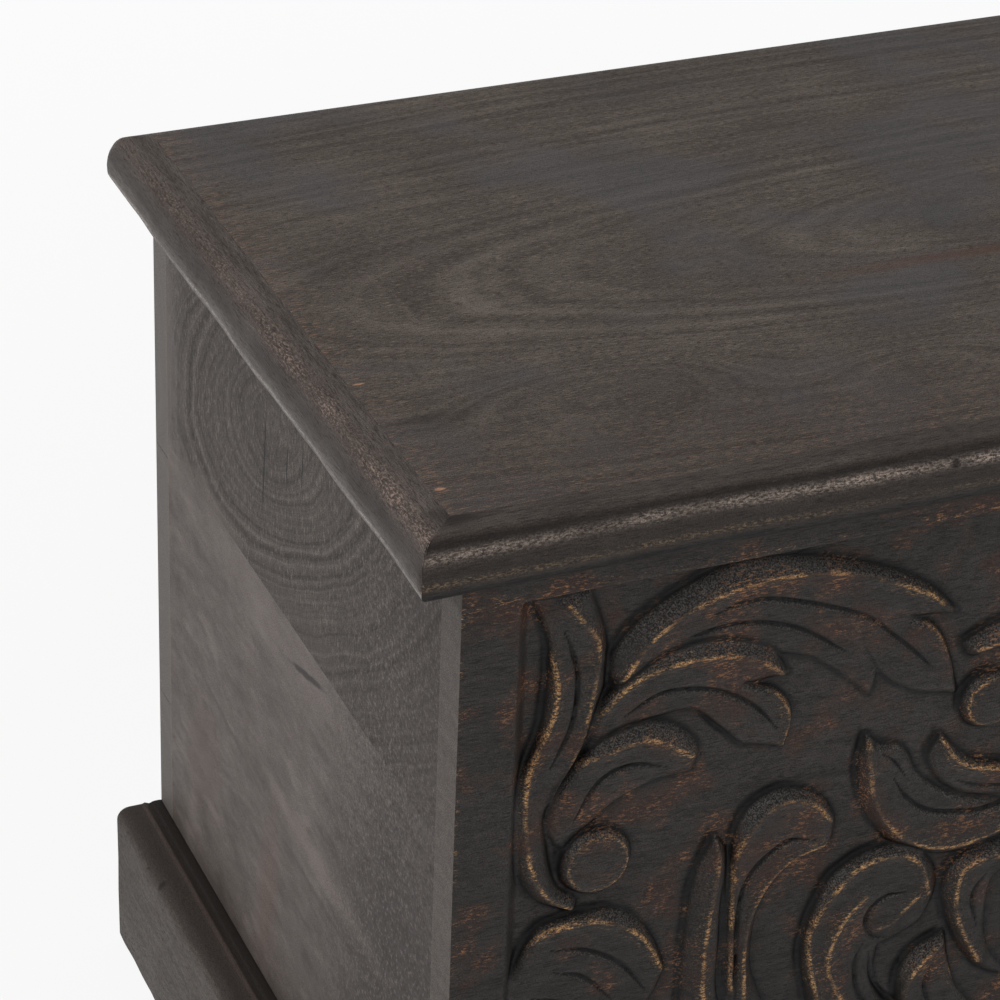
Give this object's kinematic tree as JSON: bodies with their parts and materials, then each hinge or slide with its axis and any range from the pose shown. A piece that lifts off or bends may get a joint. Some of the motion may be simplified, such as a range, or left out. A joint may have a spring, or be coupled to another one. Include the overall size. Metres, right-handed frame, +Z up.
{
  "type": "carved trunk",
  "caption": "Boarded wooden storage trunk with a scrolling leaf carving on its front, a moulded plinth and a flat plank lid that opens on butt hinges at the back.",
  "frame": {"origin": "on the floor, under the middle of the trunk's overall box", "axes": "+X along the trunk to the right as seen from the front, +Y from the carved front to the hinged back, +Z up"},
  "size_m": [0.9, 0.405, 0.45],
  "materials": {
    "carved_wood": "dark stain, rubbed through on the ridges",
    "side_wood": "grey-brown stain, matt",
    "lid_wood": "dark grey-brown stain, waxed",
    "back_wood": "thin stain, matt",
    "inner_wood": "bare sawn hardwood",
    "hinge_iron": "blackened, rubbed"
  },
  "bodies": {
    "case": {"back_lower_board": "back_wood", "back_middle_board": "back_wood", "back_upper_board": "back_wood", "bottom_bearer": "inner_wood", "bottom_board_back": "inner_wood", "bottom_board_front": "inner_wood", "bottom_board_middle": "inner_wood", "bottom_ledger_left": "inner_wood", "bottom_ledger_right": "inner_wood", "carved_front_panel": "carved_wood", "corner_post_back_left": "inner_wood", "corner_post_back_right": "inner_wood", "corner_post_front_left": "inner_wood", "corner_post_front_right": "inner_wood", "hinge_left_case_leaf": "hinge_iron", "hinge_left_pin": "hinge_iron", "hinge_right_case_leaf": "hinge_iron", "hinge_right_pin": "hinge_iron", "left_side_lower_board": "side_wood", "left_side_upper_board": "side_wood", "plinth_front": "side_wood", "plinth_left": "side_wood", "plinth_right": "side_wood", "right_side_lower_board": "side_wood", "right_side_upper_board": "side_wood"},
    "lid": {"hinge_left_lid_leaf": "hinge_iron", "hinge_right_lid_leaf": "hinge_iron", "lid_batten_left": "inner_wood", "lid_batten_right": "inner_wood", "lid_front_edging": "lid_wood", "lid_left_edging": "lid_wood", "lid_plank_back": "lid_wood", "lid_plank_front": "lid_wood", "lid_plank_middle": "lid_wood", "lid_right_edging": "lid_wood"}
  },
  "joints": [
    {"name": "lid_hinge", "type": "hinge", "parent": "case", "child": "lid", "pos_m": [0, 0.1975, 0.42675], "axis": [-1, 0, 0], "range_deg": [0, 92]}
  ]
}
